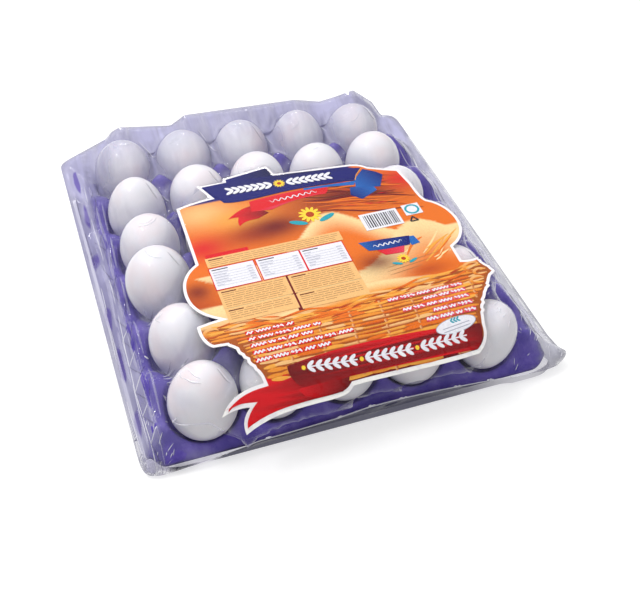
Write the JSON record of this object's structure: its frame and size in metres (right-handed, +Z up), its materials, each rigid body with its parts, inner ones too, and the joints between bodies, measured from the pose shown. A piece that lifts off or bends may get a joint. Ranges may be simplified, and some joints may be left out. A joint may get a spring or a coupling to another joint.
{
  "type": "egg tray pack",
  "caption": "Moulded pulp tray of white hen's eggs, overwrapped in clear shrink film, with a die-cut printed card label lying on the egg tops under the film.",
  "frame": {"origin": "middle of the bottom of the whole pack's box, on the surface it stands on", "axes": "+Z up, front of the pack towards -Y, its columns of eggs side by side along X"},
  "size_m": [0.298, 0.313, 0.0755],
  "materials": {
    "pulp": "matt purple moulded pulp",
    "eggshell": "satin white eggshell",
    "label_card": "coated card, printed in orange, gold, red and navy fields with a white border",
    "clear_film": "clear glossy shrink film, hazy where it folds"
  },
  "bodies": {
    "root": {"tray": "pulp", "egg_1_1": "eggshell", "egg_2_1": "eggshell", "egg_3_1": "eggshell", "egg_4_1": "eggshell", "egg_5_1": "eggshell", "egg_1_2": "eggshell", "egg_2_2": "eggshell", "egg_3_2": "eggshell", "egg_4_2": "eggshell", "egg_5_2": "eggshell", "egg_1_3": "eggshell", "egg_2_3": "eggshell", "egg_3_3": "eggshell", "egg_4_3": "eggshell", "egg_5_3": "eggshell", "egg_1_4": "eggshell", "egg_2_4": "eggshell", "egg_3_4": "eggshell", "egg_4_4": "eggshell", "egg_5_4": "eggshell", "egg_1_5": "eggshell", "egg_2_5": "eggshell", "egg_3_5": "eggshell", "egg_4_5": "eggshell", "egg_5_5": "eggshell", "egg_1_6": "eggshell", "egg_2_6": "eggshell", "egg_3_6": "eggshell", "egg_4_6": "eggshell", "egg_5_6": "eggshell", "label": "label_card", "film": "clear_film"}
  },
  "joints": []
}
